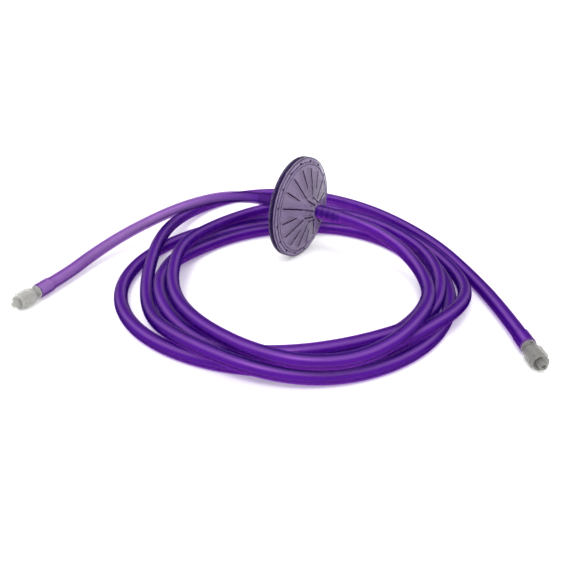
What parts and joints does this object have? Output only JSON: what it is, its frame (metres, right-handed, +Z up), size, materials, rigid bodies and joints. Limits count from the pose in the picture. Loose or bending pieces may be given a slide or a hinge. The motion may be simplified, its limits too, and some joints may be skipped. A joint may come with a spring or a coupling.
{
  "type": "insufflation tubing set with in-line disc filter",
  "caption": "Soft tubing set with a flat round in-line gas filter and a male luer lock connector at each free end; the long tube lies in a loose coil.",
  "frame": {"origin": "on the surface the set lies on, directly under the centre of the disc filter, which stands on its rim", "axes": "+Z up; +X along the filter's axis from the short tube's side to the long tube's side; +Y away from the coil"},
  "size_m": [0.2833, 0.2525, 0.066],
  "materials": {
    "housing": "clear moulded acrylic, smoke violet tint, polished",
    "membrane": "thin matte membrane",
    "screen": "thin moulded support screen",
    "tubing": "soft translucent purple PVC, glossy",
    "connector": "translucent natural moulding, semi gloss"
  },
  "bodies": {
    "root": {"outlet_shell": "housing", "inlet_shell": "housing", "filter_membrane": "membrane", "inlet_support_screen": "screen", "outlet_support_screen": "screen", "rim_weld_ring": "housing", "pigtail_tube": "tubing", "long_tube_lead": "tubing", "long_tube_coil": "tubing", "long_tube_tail": "tubing", "inlet_luer_body": "connector", "outlet_luer_body": "connector"},
    "inlet_collar": {"inlet_lock_collar": "connector"},
    "outlet_collar": {"outlet_lock_collar": "connector"}
  },
  "joints": [
    {"name": "inlet_collar_spin", "type": "hinge", "parent": "root", "child": "inlet_collar", "pos_m": [-0.095, -0.14442, 0.0052], "axis": [0.1015, -0.9948, 0], "continuous": true},
    {"name": "outlet_collar_spin", "type": "hinge", "parent": "root", "child": "outlet_collar", "pos_m": [0.16649, -0.04444, 0.0052], "axis": [0.6041, -0.7969, 0], "continuous": true}
  ]
}
